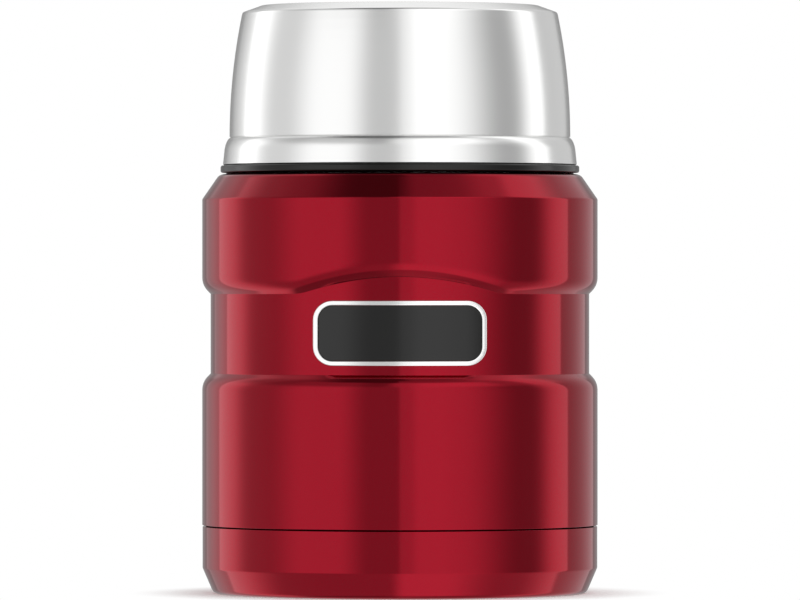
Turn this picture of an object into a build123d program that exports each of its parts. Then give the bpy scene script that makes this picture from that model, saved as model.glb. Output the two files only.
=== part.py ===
from build123d import *
import math
import os

# Insulated food jar with a screwed stopper and a serving bowl as its lid.
# Millimetres, +Z up. The origin is the centre of the ring that the jar stands on. The badge faces -Y.

# Jar, outside
body_radius = 47.5
waist_depth = 2.02
step_radius = 4.5
lower_bulge_height = 32.35
waist_height = 19.1
upper_bulge_height = 18.99
shoulder_height = 6.0
shoulder_inset = 4.15
shoulder_corner_round = 0.8
shoulder_top_round = 2.0
shell_wall = 0.8

# Arch pressed over the front of the waist
arch_height = 4.45
arch_half_width = 23.4
arch_overrun = 3.2
arch_lip = 0.15
arch_sections = 9

# Base cup
cup_set_back = 0.08
cup_height = 16.15
cup_wall = 0.8
cup_cone_height = 6.1
cup_cone_inset = 2.62
foot_width = 6.3
foot_round = 1.55
foot_recess = 1.6
seam_gap = 0.5
cup_fit = 0.32
bond_height = 5.0
bond_drop = 2.2

# Vacuum vessel
vacuum_gap = 3.78
vessel_wall = 0.6
vessel_floor_gap = 6.6
vessel_floor_round = 6.6
vessel_shoulder_height = 5.6
vessel_shoulder_drop = 1.5
vessel_shoulder_round = 3.0
neck_root_round = 1.2
mouth_radius = 34.5
neck_height = 15.4
bottom_plate_wall = 0.8
bottom_flange_height = 3.0
pump_hole_radius = 1.2
seal_button_radius = 4.0
seal_button_height = 0.8
foil_gap = 0.2
foil_wall = 0.3
foil_margin = 8.0
getter_place = 20.0
getter_radius = 4.5
getter_height = 1.4
getter_holder_wall = 0.4
weld_fit = 0.02

# Badge
badge_width = 41.0
badge_height = 15.4
badge_corner = 4.6
badge_pad_inset = 1.6
badge_pad_wall = 0.2
badge_plate_wall = 0.6
badge_rim_width = 1.15
badge_rim_wall = 0.95
badge_fit = 0.03
badge_lift = 0.35

# Screw threads
thread_base = 2.4
thread_crest = 1.2
thread_bite = 0.3
neck_thread_pitch = 4.0
neck_thread_starts = 3
neck_thread_depth = 0.9
neck_thread_height = 8.0
neck_thread_drop = 3.4
bowl_thread_pitch = 4.5
bowl_thread_starts = 4
bowl_thread_depth = 1.0
bowl_thread_height = 5.4
bowl_thread_lift = 0.75
crest_clearance = 0.4
grip_thread_drop = 2.0

# Stopper
flange_gap = 0.35
flange_height = 1.75
flange_reach = 0.57
flange_round = 0.45
skirt_wall = 1.8
skirt_set_in = 0.4
skirt_set_in_lift = 1.2
deck_wall = 2.0
deck_rim_width = 2.0
deck_rim_height = 2.2
deck_rim_round = 0.6
gasket_height = 1.9
gasket_clearance = 0.15
gasket_side_clearance = 0.3
gasket_groove = 0.8
plug_clearance = 0.3
plug_depth = 13.6
plug_wall = 1.2
plug_floor = 1.4
plug_round = 2.0
foam_clearance = 0.2

# Bowl
bowl_gap = 0.15
bowl_height = 38.25
bowl_wall = 0.6
bowl_skirt_height = 6.65
bowl_skirt_straight = 3.4
bowl_skirt_taper = 0.36
bowl_skirt_inset = 1.59
bowl_skirt_bow = 0.22
bowl_draw_in = 3.09
bowl_bevel_inset = 4.6
bowl_bevel_height = 1.65
bowl_corner_round = 0.8
bowl_top_round = 1.0
bowl_air_gap = 0.75
bowl_liner_wall = 0.5
bowl_liner_lip = 0.6
bowl_lip_clearance = 0.15
ring_wall = 2.23
ring_gap = 0.1
ring_set_up = 0.3

# Spoon
spoon_bowl_length = 44.0
spoon_bowl_width = 32.0
spoon_bowl_depth = 6.8
spoon_wall = 0.9
spoon_bowl_place = -11.0
spoon_neck_width = 9.0
spoon_hinge_place = 30.6
spoon_handle_length = 61.0
spoon_handle_width = 13.0
spoon_handle_wall = 1.2
spoon_handle_hole = 2.2
spoon_handle_hole_place = 5.4
knuckle_radius = 1.9
knuckle_width = 3.4
knuckle_gap = 0.15
rivet_radius = 0.9
rivet_fit = 0.05
rivet_head_radius = 1.5
rivet_head_height = 0.6
spoon_rest_gap = 0.05

# Cradle on the stopper's deck
cradle_place = 21.0
cradle_length = 8.0
cradle_wall = 2.0
cradle_gap = 0.4
cradle_hook = 1.0
cradle_hook_height = 1.6
saddle_width = 6.0

# Worked out from the sizes above: jar
waist_radius = body_radius - waist_depth
step_rise = math.sqrt(step_radius**2 - (step_radius - waist_depth) ** 2)
step_turn = math.degrees(math.asin(step_rise / step_radius))
cup_radius = body_radius - cup_set_back
tuck_radius = cup_radius - cup_wall - cup_fit
shell_floor_z = cup_cone_height + seam_gap / 5
lower_bulge_z = cup_height + seam_gap
lower_step_z = lower_bulge_z + lower_bulge_height
waist_z = lower_step_z + step_rise
waist_top_z = waist_z + waist_height
upper_step_z = waist_top_z + step_rise
shoulder_z = upper_step_z + upper_bulge_height
jar_top_z = shoulder_z + shoulder_height
vessel_radius = waist_radius - shell_wall - vacuum_gap
vessel_floor_z = shell_floor_z + vessel_floor_gap
neck_radius = mouth_radius + vessel_wall
rim_z = jar_top_z + neck_height
plate_z = shell_floor_z + bottom_flange_height - bottom_plate_wall

# Worked out: stopper
neck_crest_radius = neck_radius + neck_thread_depth
bore_radius = neck_crest_radius + crest_clearance
skirt_radius = bore_radius + skirt_wall
skirt_crest_radius = skirt_radius + bowl_thread_depth
flange_z = jar_top_z + flange_gap
flange_top_z = flange_z + flange_height
gasket_z = rim_z + gasket_clearance
deck_z = gasket_z + gasket_height + gasket_clearance
deck_top_z = deck_z + deck_wall
plug_radius = mouth_radius - plug_clearance
plug_bore_radius = plug_radius - gasket_groove - plug_wall

# Worked out: bowl
ring_bore_radius = skirt_crest_radius + crest_clearance
bowl_rim_radius = ring_bore_radius + ring_wall + ring_gap + bowl_wall
bowl_rim_z = flange_top_z + bowl_gap
bowl_crease_z = bowl_rim_z + bowl_skirt_height
bowl_top_z = bowl_rim_z + bowl_height
bowl_crease_radius = bowl_rim_radius - bowl_skirt_inset
flange_radius = bowl_rim_radius + flange_reach
ring_z = bowl_rim_z + ring_set_up
ring_top_z = bowl_crease_z - bowl_wall / 2
bowl_thread_z = bowl_rim_z + bowl_thread_lift
neck_thread_z = rim_z - neck_thread_drop - neck_thread_height
grip_thread_z = neck_thread_z - grip_thread_drop

# Worked out: spoon
spoon_rim_z = deck_top_z + spoon_rest_gap + spoon_bowl_depth
hinge_z = spoon_rim_z - spoon_wall + knuckle_radius
handle_z = hinge_z + knuckle_radius - spoon_handle_wall


def turned(outline):
    """Turn a flat outline, X as radius and Y as height, into a solid about the Z axis."""
    return revolve(Plane.XZ * outline, Axis.Z)


def tube(inner, outer, low, high):
    """A plain ring from height low to height high."""
    return turned(Pos((inner + outer) / 2, (low + high) / 2) * Rectangle(outer - inner, high - low))


def disc(radius, low, high):
    """A plain disc from height low to height high."""
    return Pos(0, 0, (low + high) / 2) * Cylinder(radius, high - low)


def corners(*points):
    """A closed outline from corners of radius, height and rounding."""
    path = FilletPolyline(*[(r, z) for r, z, _ in points], radius=[c for _, _, c in points], close=True)
    return make_face(path)


def inset(outline, amount):
    """The outline moved inwards by amount all round, open across the axis."""
    whole = outline + mirror(outline, Plane.YZ)
    smaller = offset(whole, amount=-amount)
    half = Pos(body_radius, 0) * Rectangle(2 * body_radius, 8 * body_radius)
    return smaller & half


def ridge(root, crest, low, pitch, starts, height, turn=0):
    """Screw thread ridges that run from the root radius to the crest radius.

    The ridges fill the height above low, and reach a little way into the wall that they stand on.
    The first one starts at the angle turn.
    """
    lead = pitch * starts
    side = math.copysign(1, crest - root)
    slope = (thread_base - thread_crest) / 2 / abs(crest - root)
    foot = root - side * thread_bite
    foot_half = thread_base / 2 + slope * thread_bite
    section = Polyline(
        (foot, 0, -foot_half),
        (crest, 0, -thread_crest / 2),
        (crest, 0, thread_crest / 2),
        (foot, 0, foot_half),
        close=True,
    )
    climb = height - 2 * foot_half
    path = Helix(lead, climb, root)
    one = sweep(make_face(section), path=path, is_frenet=True)
    return [Pos(0, 0, low + foot_half) * Rot(0, 0, turn + 360 / starts * i) * one for i in range(starts)]


def mesh_turn(low, mate_low, pitch, starts):
    """The angle that sets a thread's ridges midway between its mate's."""
    return (low - mate_low - pitch / 2) * 360 / (pitch * starts)


def jar_form():
    """Outline of the outer shell, from the tucked-in part inside the cup to the shoulder."""
    centre = body_radius - step_radius
    edges = [
        Line((0, jar_top_z), (0, shell_floor_z)),
        Line((0, shell_floor_z), (tuck_radius, shell_floor_z)),
        Line((tuck_radius, shell_floor_z), (tuck_radius, lower_bulge_z)),
        Line((tuck_radius, lower_bulge_z), (body_radius, lower_bulge_z)),
        Line((body_radius, lower_bulge_z), (body_radius, lower_step_z)),
        CenterArc((centre, lower_step_z), step_radius, 0, step_turn),
        Line((waist_radius, waist_z), (waist_radius, waist_top_z)),
        CenterArc((centre, upper_step_z), step_radius, -step_turn, step_turn),
        FilletPolyline(
            (body_radius, upper_step_z),
            (body_radius, shoulder_z),
            (body_radius - shoulder_inset, jar_top_z),
            (0, jar_top_z),
            radius=[shoulder_corner_round, shoulder_top_round],
        ),
    ]
    return make_face(edges)


def arch_crease(across):
    """Height of the arch's crease at a distance across from the middle of the front."""
    radius = (arch_half_width**2 + arch_height**2) / 2 / arch_height
    return waist_top_z + arch_height - radius + math.sqrt(radius**2 - across**2)


def arch_section(angle, wall):
    """One upright section of the space under the arch, turned by angle from the front."""
    centre_z = arch_crease(waist_radius * math.sin(math.radians(angle))) + step_rise
    centre = body_radius + arch_lip - step_radius
    radius = step_radius - wall
    turn = math.radians(step_turn + arch_overrun)
    low = waist_z + waist_height / 2
    outside = body_radius + step_radius
    arc_end = (centre + radius * math.cos(turn), centre_z - radius * math.sin(turn))
    arc_mid = (centre + radius * math.cos(turn / 2), centre_z - radius * math.sin(turn / 2))
    edges = [
        ThreePointArc(arc_end, arc_mid, (centre + radius, centre_z)),
        Line((centre + radius, centre_z), (outside, centre_z)),
        Line((outside, centre_z), (outside, low)),
        Line((outside, low), (arc_end[0], low)),
        Line((arc_end[0], low), arc_end),
    ]
    upright = Plane.XZ * make_face(edges)
    return Rot(0, 0, angle - 90) * upright


def arch_space(wall):
    """The space under the arch, which carries the waist up into the upper bulge."""
    reach = math.degrees(math.asin((arch_half_width + arch_overrun) / waist_radius))
    step = 2 * reach / (arch_sections - 1)
    sections = [arch_section(-reach + step * i, wall) for i in range(arch_sections)]
    return loft(sections) - disc(waist_radius - wall, 0, jar_top_z)


def outer_shell():
    form = jar_form()
    outside = turned(form) - arch_space(0)
    inside = turned(inset(form, shell_wall)) - arch_space(shell_wall)
    mouth = disc(neck_radius + weld_fit, shoulder_z, jar_top_z)
    foot = disc(tuck_radius - shell_wall, shell_floor_z, lower_bulge_z)
    return outside - inside - mouth - foot


def vessel_form():
    """Outline of the inner vessel's outside, floor to rim."""
    shoulder_end = jar_top_z - shell_wall - vessel_shoulder_drop
    return corners(
        (0, vessel_floor_z, 0),
        (vessel_radius, vessel_floor_z, vessel_floor_round),
        (vessel_radius, shoulder_end - vessel_shoulder_height, vessel_shoulder_round),
        (neck_radius, shoulder_end, neck_root_round),
        (neck_radius, rim_z + vessel_wall, 0),
        (0, rim_z + vessel_wall, 0),
    )


def inner_vessel():
    form = vessel_form()
    wall = form - inset(form, vessel_wall)
    above_rim = Pos(0, rim_z + body_radius / 2) * Rectangle(4 * body_radius, body_radius)
    vessel = turned(wall - above_rim)
    thread = ridge(
        neck_radius,
        neck_crest_radius,
        neck_thread_z,
        neck_thread_pitch,
        neck_thread_starts,
        neck_thread_height,
    )
    return vessel + thread


def radiation_foil():
    inner = vessel_radius + foil_gap
    low = vessel_floor_z + foil_margin
    return tube(inner, inner + foil_wall, low, shoulder_z - foil_margin)


def shell_bottom_plate():
    outer = tuck_radius - shell_wall - weld_fit
    flange = tube(outer - bottom_plate_wall, outer, shell_floor_z, plate_z)
    plate = disc(outer, plate_z, plate_z + bottom_plate_wall)
    return flange + plate - disc(pump_hole_radius, 0, vessel_floor_z)


def vacuum_seal_plug():
    button = disc(seal_button_radius, plate_z - seal_button_height, plate_z)
    stem = disc(pump_hole_radius - weld_fit, plate_z, plate_z + bottom_plate_wall)
    return button + stem


def getter_holder():
    low = plate_z + bottom_plate_wall
    outer = getter_radius + getter_holder_wall
    high = low + getter_holder_wall + getter_height
    holder = tube(getter_radius, outer, low, high) + disc(outer, low, low + getter_holder_wall)
    return Pos(getter_place, 0, 0) * holder


def getter_pellet():
    low = plate_z + bottom_plate_wall + getter_holder_wall
    return Pos(getter_place, 0, 0) * disc(getter_radius - weld_fit, low, low + getter_height)


def cup_form():
    return corners(
        (0, foot_recess, 0),
        (cup_radius - cup_cone_inset - foot_width, foot_recess, cup_wall),
        (cup_radius - cup_cone_inset - foot_width + foot_recess, 0, cup_wall / 2),
        (cup_radius - cup_cone_inset, 0, foot_round),
        (cup_radius, cup_cone_height, cup_wall),
        (cup_radius, cup_height + cup_wall, 0),
        (0, cup_height + cup_wall, 0),
    )


def base_cup():
    form = cup_form()
    wall = form - inset(form, cup_wall)
    above = Pos(0, cup_height + body_radius / 2) * Rectangle(4 * body_radius, body_radius)
    return turned(wall - above)


def base_bond_ring():
    high = cup_height - bond_drop
    return tube(tuck_radius + weld_fit, cup_radius - cup_wall - weld_fit, high - bond_height, high)


def badge_block(width, height, corner, inner, outer):
    """A rounded plaque on the front, bent round the waist between two radii."""
    middle_z = (waist_z + waist_top_z) / 2 + badge_lift
    face = Plane.XZ * RectangleRounded(width, height, corner)
    block = Pos(0, 0, middle_z) * extrude(face, body_radius + outer - inner)
    return block & tube(inner, outer, waist_z, upper_step_z)


def badge_pad():
    inner = waist_radius + badge_fit
    return badge_block(
        badge_width - 2 * badge_pad_inset,
        badge_height - 2 * badge_pad_inset,
        badge_corner - badge_pad_inset,
        inner,
        inner + badge_pad_wall,
    )


def badge_plate():
    inner = waist_radius + 2 * badge_fit + badge_pad_wall
    margin = badge_rim_width + badge_fit
    return badge_block(
        badge_width - 2 * margin,
        badge_height - 2 * margin,
        badge_corner - margin,
        inner,
        inner + badge_plate_wall,
    )


def badge_frame():
    inner = waist_radius + 2 * badge_fit + badge_pad_wall
    outer = inner + badge_rim_wall
    opening = badge_block(
        badge_width - 2 * badge_rim_width,
        badge_height - 2 * badge_rim_width,
        badge_corner - badge_rim_width,
        inner - badge_fit,
        outer + badge_fit,
    )
    return badge_block(badge_width, badge_height, badge_corner, inner, outer) - opening


def stopper_body():
    upper_radius = skirt_radius - skirt_set_in
    set_in_z = bowl_thread_z + bowl_thread_height + skirt_set_in_lift
    form = corners(
        (bore_radius, flange_z, 0),
        (flange_radius, flange_z, flange_round),
        (flange_radius, flange_top_z, flange_round),
        (skirt_radius, flange_top_z, 0),
        (skirt_radius, set_in_z, 0),
        (upper_radius, set_in_z + skirt_set_in, 0),
        (upper_radius, deck_top_z + deck_rim_height, deck_rim_round),
        (upper_radius - deck_rim_width, deck_top_z + deck_rim_height, deck_rim_round),
        (upper_radius - deck_rim_width, deck_top_z, 0),
        (0, deck_top_z, 0),
        (0, deck_z, 0),
        (bore_radius, deck_z, 0),
    )
    outer_thread = ridge(
        skirt_radius,
        skirt_crest_radius,
        bowl_thread_z,
        bowl_thread_pitch,
        bowl_thread_starts,
        bowl_thread_height,
    )
    inner_thread = ridge(
        bore_radius,
        neck_radius + crest_clearance,
        grip_thread_z,
        neck_thread_pitch,
        neck_thread_starts,
        neck_thread_height,
        mesh_turn(grip_thread_z, neck_thread_z, neck_thread_pitch, neck_thread_starts),
    )
    return turned(form) + outer_thread + inner_thread + cradle()


def cradle():
    """Saddle under the spoon's neck, and two hooked posts beside its handle."""
    inner = spoon_handle_width / 2 + cradle_gap
    hook_z = handle_z + spoon_handle_wall + cradle_gap
    low = deck_top_z - deck_wall / 2
    saddle_top = spoon_rim_z - spoon_wall - spoon_rest_gap
    saddle = Pos(cradle_place, 0, (low + saddle_top) / 2) * Box(cradle_length, saddle_width, saddle_top - low)
    post_height = hook_z + cradle_hook_height - low
    post = Pos(cradle_place, inner + cradle_wall / 2, low + post_height / 2)
    post = post * Box(cradle_length, cradle_wall, post_height)
    hook_y = inner + (cradle_wall - cradle_hook - cradle_gap) / 2
    hook = Pos(cradle_place, hook_y, hook_z + cradle_hook_height / 2)
    hook = hook * Box(cradle_length, cradle_wall + cradle_hook + cradle_gap, cradle_hook_height)
    side = post + hook
    return [saddle, side, mirror(side, Plane.XZ)]


def stopper_inner_cup():
    low = deck_z - plug_depth
    groove_low = gasket_z
    form = corners(
        (0, low, 0),
        (plug_radius, low, plug_round),
        (plug_radius, groove_low, 0),
        (plug_radius - gasket_groove, groove_low, 0),
        (plug_radius - gasket_groove, deck_z, 0),
        (plug_bore_radius, deck_z, 0),
        (plug_bore_radius, low + plug_floor, 0),
        (0, low + plug_floor, 0),
    )
    return turned(form)


def stopper_insulation():
    low = deck_z - plug_depth + plug_floor
    return disc(plug_bore_radius - foam_clearance, low, deck_z)


def stopper_gasket():
    inner = plug_radius - gasket_groove + gasket_clearance
    outer = bore_radius - gasket_side_clearance
    low = gasket_z
    rounding = gasket_height / 5
    form = corners(
        (inner, low, 0),
        (outer, low, rounding),
        (outer, low + gasket_height, rounding),
        (inner, low + gasket_height, 0),
    )
    return turned(form)


def bowl_form():
    """Outline of the steel bowl as it sits upside down, run on below its rim."""
    side_height = bowl_height - bowl_skirt_height - bowl_bevel_height
    side_radius = (side_height**2 + bowl_draw_in**2) / 2 / bowl_draw_in
    side_turn = math.degrees(math.asin(side_height / side_radius))
    straight_z = bowl_rim_z + bowl_skirt_straight
    straight_radius = bowl_rim_radius - bowl_skirt_taper
    low = bowl_rim_z - bowl_skirt_height
    bow_middle = (
        (straight_radius + bowl_crease_radius) / 2 + bowl_skirt_bow,
        (straight_z + bowl_crease_z) / 2 + bowl_skirt_bow / 2,
    )
    corner = (bowl_crease_radius - bowl_draw_in, bowl_top_z - bowl_bevel_height)
    top = (corner[0] - bowl_bevel_inset, bowl_top_z)
    edges = [
        Line((0, bowl_top_z), (0, low)),
        Line((0, low), (bowl_rim_radius, low)),
        Line((bowl_rim_radius, low), (bowl_rim_radius, bowl_rim_z)),
        Line((bowl_rim_radius, bowl_rim_z), (straight_radius, straight_z)),
        ThreePointArc((straight_radius, straight_z), bow_middle, (bowl_crease_radius, bowl_crease_z)),
        CenterArc((bowl_crease_radius - side_radius, bowl_crease_z), side_radius, 0, side_turn),
        Line(corner, top),
        Line(top, (0, bowl_top_z)),
    ]
    form = make_face(edges)
    form = fillet(form.vertices().sort_by_distance(corner)[0], bowl_corner_round)
    return fillet(form.vertices().sort_by_distance(top)[0], bowl_top_round)


def below(height):
    """Everything under a height, as a flat shape that trims an outline."""
    return Pos(0, height - body_radius) * Rectangle(4 * body_radius, 2 * body_radius)


def above(height):
    """Everything over a height, as a flat shape that trims an outline."""
    return Pos(0, height + body_radius) * Rectangle(4 * body_radius, 2 * body_radius)


def bowl_outer_shell():
    form = bowl_form()
    return turned(form - inset(form, bowl_wall) - below(bowl_rim_z))


def bowl_inner_liner():
    form = bowl_form()
    outer = inset(form, bowl_wall + bowl_air_gap)
    inner = inset(form, bowl_wall + bowl_air_gap + bowl_liner_wall)
    low = ring_top_z + bowl_lip_clearance
    wall = outer - inner - below(low)
    lip_inner = bowl_crease_radius - bowl_wall - bowl_air_gap - bowl_liner_wall
    lip_outer = bowl_crease_radius - bowl_wall - crest_clearance
    lip = Pos((lip_inner + lip_outer) / 2, low + bowl_liner_lip / 2)
    lip = lip * Rectangle(lip_outer - lip_inner, bowl_liner_lip)
    return turned(wall + lip)


def bowl_thread_ring():
    room = inset(bowl_form(), bowl_wall + ring_gap)
    bore = Rectangle(2 * ring_bore_radius, 8 * body_radius)
    ring = turned(room - bore - below(ring_z) - above(ring_top_z))
    thread = ridge(
        ring_bore_radius,
        skirt_radius + crest_clearance,
        bowl_thread_z,
        bowl_thread_pitch,
        bowl_thread_starts,
        bowl_thread_height,
        mesh_turn(0, 0, bowl_thread_pitch, bowl_thread_starts),
    )
    return ring + thread


def spoon_head():
    half_length = spoon_bowl_length / 2
    half_width = spoon_bowl_width / 2
    outside = scale(Sphere(1), by=(half_length, half_width, spoon_bowl_depth))
    hollow = scale(
        Sphere(1),
        by=(half_length - spoon_wall, half_width - spoon_wall, spoon_bowl_depth - spoon_wall),
    )
    lid = Pos(0, 0, spoon_bowl_depth) * Box(2 * half_length, 2 * half_width, 2 * spoon_bowl_depth)
    bowl = Pos(spoon_bowl_place, 0, spoon_rim_z) * (outside - hollow - lid)
    neck_start = spoon_bowl_place + half_length - 2 * spoon_wall
    neck_length = spoon_hinge_place - neck_start
    neck = Pos(neck_start + neck_length / 2, 0, spoon_rim_z - spoon_wall / 2)
    neck = neck * Box(neck_length, spoon_neck_width, spoon_wall)
    notch = Cylinder(knuckle_radius + knuckle_gap, knuckle_width + 2 * knuckle_gap)
    neck = neck - Pos(spoon_hinge_place, 0, hinge_z) * Rot(90, 0, 0) * notch
    head = bowl + neck + knuckle(knuckle_width, 1) + knuckle(knuckle_width, -1)
    return head - hinge_bore()


def knuckle(width, side):
    """A hinge barrel that lies to one side of the middle knuckle, or over it for side 0."""
    place = side * (width + knuckle_gap)
    return Pos(spoon_hinge_place, place, hinge_z) * Rot(90, 0, 0) * Cylinder(knuckle_radius, width)


def hinge_bore():
    bore = Cylinder(rivet_radius + rivet_fit, spoon_handle_width)
    return Pos(spoon_hinge_place, 0, hinge_z) * Rot(90, 0, 0) * bore


def spoon_handle():
    start = spoon_hinge_place - knuckle_radius - knuckle_gap
    shape = Rectangle(spoon_handle_length, spoon_handle_width)
    shape = fillet(shape.vertices().group_by(Axis.X)[0], spoon_handle_width / 2 - spoon_wall)
    shape = fillet(shape.vertices().group_by(Axis.X)[-1], spoon_wall)
    hole = Pos(spoon_handle_hole_place - spoon_handle_length / 2, 0) * Circle(spoon_handle_hole)
    strip = Pos(start - spoon_handle_length / 2, 0, handle_z) * extrude(shape - hole, spoon_handle_wall)
    tab_length = knuckle_radius + spoon_wall
    tab = Pos(spoon_hinge_place - tab_length / 2, 0, handle_z + spoon_handle_wall / 2)
    tab = tab * Box(tab_length, knuckle_width, spoon_handle_wall)
    return strip + tab + knuckle(knuckle_width, 0) - hinge_bore()


def spoon_rivet():
    half = knuckle_width * 3 / 2 + knuckle_gap * 2
    shank = Cylinder(rivet_radius, 2 * half)
    heads = [
        Pos(0, 0, side * (half + rivet_head_height / 2)) * Cylinder(rivet_head_radius, rivet_head_height)
        for side in (1, -1)
    ]
    return Pos(spoon_hinge_place, 0, hinge_z) * Rot(90, 0, 0) * (shank + heads)


nodes = {
    "outer_shell": outer_shell,
    "inner_vessel": inner_vessel,
    "radiation_foil": radiation_foil,
    "shell_bottom_plate": shell_bottom_plate,
    "vacuum_seal_plug": vacuum_seal_plug,
    "getter_holder": getter_holder,
    "getter_pellet": getter_pellet,
    "base_cup": base_cup,
    "base_bond_ring": base_bond_ring,
    "badge_pad": badge_pad,
    "badge_plate": badge_plate,
    "badge_frame": badge_frame,
    "stopper_body": stopper_body,
    "stopper_inner_cup": stopper_inner_cup,
    "stopper_insulation": stopper_insulation,
    "stopper_gasket": stopper_gasket,
    "bowl_outer_shell": bowl_outer_shell,
    "bowl_inner_liner": bowl_inner_liner,
    "bowl_thread_ring": bowl_thread_ring,
    "spoon_head": spoon_head,
    "spoon_handle": spoon_handle,
    "spoon_rivet": spoon_rivet,
}

os.makedirs("parts", exist_ok=True)
for name, make in nodes.items():
    export_step(make(), f"parts/{name}.step")
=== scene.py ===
"""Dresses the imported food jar: enamelled and turned steel, moulded parts, a plain studio, floor and camera."""

from __future__ import annotations

import logging
import math
from collections.abc import Iterable, Sequence
from dataclasses import dataclass, field
from enum import Enum
from itertools import pairwise

import bpy
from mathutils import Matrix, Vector

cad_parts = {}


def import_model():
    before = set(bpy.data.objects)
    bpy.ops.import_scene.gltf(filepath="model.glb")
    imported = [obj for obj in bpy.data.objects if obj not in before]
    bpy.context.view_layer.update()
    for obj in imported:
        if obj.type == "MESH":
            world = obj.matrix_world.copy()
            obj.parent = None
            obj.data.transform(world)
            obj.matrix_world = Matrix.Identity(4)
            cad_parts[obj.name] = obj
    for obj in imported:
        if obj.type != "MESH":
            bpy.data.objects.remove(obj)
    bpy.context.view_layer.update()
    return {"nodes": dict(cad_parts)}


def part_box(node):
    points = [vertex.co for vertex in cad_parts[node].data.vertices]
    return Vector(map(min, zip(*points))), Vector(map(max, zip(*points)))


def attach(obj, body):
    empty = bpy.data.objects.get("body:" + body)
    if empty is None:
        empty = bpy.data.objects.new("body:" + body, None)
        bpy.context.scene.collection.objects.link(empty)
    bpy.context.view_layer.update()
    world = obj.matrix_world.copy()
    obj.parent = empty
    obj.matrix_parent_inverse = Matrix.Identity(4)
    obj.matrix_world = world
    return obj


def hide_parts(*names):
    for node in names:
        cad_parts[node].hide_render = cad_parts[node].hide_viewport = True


LOG = logging.getLogger("food_jar")

MM = 0.001
SPIN_STEPS = 288
FINE_STEPS = 64
ARC_STEP = math.radians(9)
HOLD = 0.25
WELD = 4e-6
SMOOTH_ANGLE = math.radians(34)
SHARP_ANGLE = math.radians(60)
EDGE_FACETS = 3
FLAT_LIMIT = 0.999
DRILL_FLARE = 1.4

Point = tuple[float, float]
Corner = tuple[float, float, float]
Triple = tuple[float, float, float]
Colour = tuple[float, float, float]
Piece = bpy.types.Object
Socket = bpy.types.NodeSocket


class Body(Enum):
    """The rigid bodies that pieces ride on."""

    JAR = "jar"
    SEAL = "stopper_seal"
    STOPPER = "stopper"
    LINING = "bowl_lining"
    BOWL = "bowl"


class Grain(Enum):
    """Which way the fine lines of a steel face run."""

    RINGS = "round the jar's axis"
    LENGTHWISE = "along X"


# ---------------------------------------------------------------- outlines


def rounded(corners: Sequence[Corner], hold: float = HOLD) -> list[Point]:
    """Turns corners into a path whose corners are arcs, with a holding point at each end of a long straight.

    Args:
        corners: radius, height and rounding of each corner, in millimetres.
        hold: distance of the holding points from the ends of a straight.

    Returns:
        The points of the path, in millimetres.
    """
    path: list[Point] = []
    for i, (r, z, rounding) in enumerate(corners):
        if rounding <= 0 or i in (0, len(corners) - 1):
            path.append((r, z))
            continue
        here = Vector((r, z))
        before = (Vector(corners[i - 1][:2]) - here).normalized()
        after = (Vector(corners[i + 1][:2]) - here).normalized()
        opening = before.angle(after)
        turn = math.pi - opening
        reach = rounding / math.tan(opening / 2)
        centre = here + (before + after).normalized() * (rounding / math.sin(opening / 2))
        start, end = here + before * reach - centre, here + after * reach - centre
        steps = max(2, math.ceil(turn / ARC_STEP))
        for k in range(steps + 1):
            share = k / steps
            arm = (start * math.sin((1 - share) * turn) + end * math.sin(share * turn)) / math.sin(turn)
            path.append(tuple(centre + arm))
    return held(path, hold)


def held(path: Sequence[Point], hold: float) -> list[Point]:
    """Adds a point near each end of every long straight, which keeps the shading of the straight even.

    Args:
        path: points in millimetres.
        hold: distance of the added points from the ends.

    Returns:
        The path with its holding points.
    """
    out: list[Point] = [path[0]]
    for a, b in pairwise(path):
        start, end = Vector(a), Vector(b)
        length = (end - start).length
        if length > 5 * hold:
            out.append(tuple(start.lerp(end, hold / length)))
            out.append(tuple(end.lerp(start, hold / length)))
        out.append(b)
    return out


def bow(start: Point, middle: Point, end: Point, steps: int) -> list[Corner]:
    """Points on the circle through three points, without the first and the last.

    Args:
        start: where the circle's piece begins, in millimetres.
        middle: a point that it passes.
        end: where it ends.
        steps: how many parts it is cut into.

    Returns:
        The inner points, each without rounding.
    """
    a, b, c = Vector(start), Vector(middle), Vector(end)
    twice = 2 * (b - a).cross(c - a)
    u, v = b - a, c - a
    centre = a + Vector((v.y * u.dot(u) - u.y * v.dot(v), u.x * v.dot(v) - v.x * u.dot(u))) / twice
    arm, last = a - centre, c - centre
    turn = math.atan2(arm.cross(last), arm.dot(last))
    points: list[Corner] = []
    for k in range(1, steps):
        cos, sin = math.cos(turn * k / steps), math.sin(turn * k / steps)
        points.append((centre.x + arm.x * cos - arm.y * sin, centre.y + arm.x * sin + arm.y * cos, 0))
    return points


def set_in(corners: Sequence[Corner], wall: float) -> list[Corner]:
    """Moves a path of corners sideways by a wall's thickness.

    Args:
        corners: radius, height and rounding of each corner, in millimetres.
        wall: how far the path moves to its left, or to its right if negative.

    Returns:
        The moved corners. Roundings grow outside a bend and shrink inside it.
    """
    moved: list[Corner] = []
    for i, (r, z, rounding) in enumerate(corners):
        here = Vector((r, z))
        ways = []
        if i > 0:
            ways.append((here - Vector(corners[i - 1][:2])).normalized())
        if i < len(corners) - 1:
            ways.append((Vector(corners[i + 1][:2]) - here).normalized())
        along = (ways[0] + ways[-1]).normalized()
        turn = ways[0].cross(ways[-1])
        place = here + Vector((-along.y, along.x)) * (wall / along.dot(ways[0]))
        fresh = max(0.0, rounding - math.copysign(wall, wall * turn)) if rounding > 0 and turn else rounding
        moved.append((0.0 if r == 0 else place.x, place.y, fresh))
    return moved


def mirrored(corners: Sequence[Corner]) -> list[Corner]:
    """A path of corners mirrored in its first axis, from its end back to its start."""
    return [(a, -b, rounding) for a, b, rounding in reversed(corners)]


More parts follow.
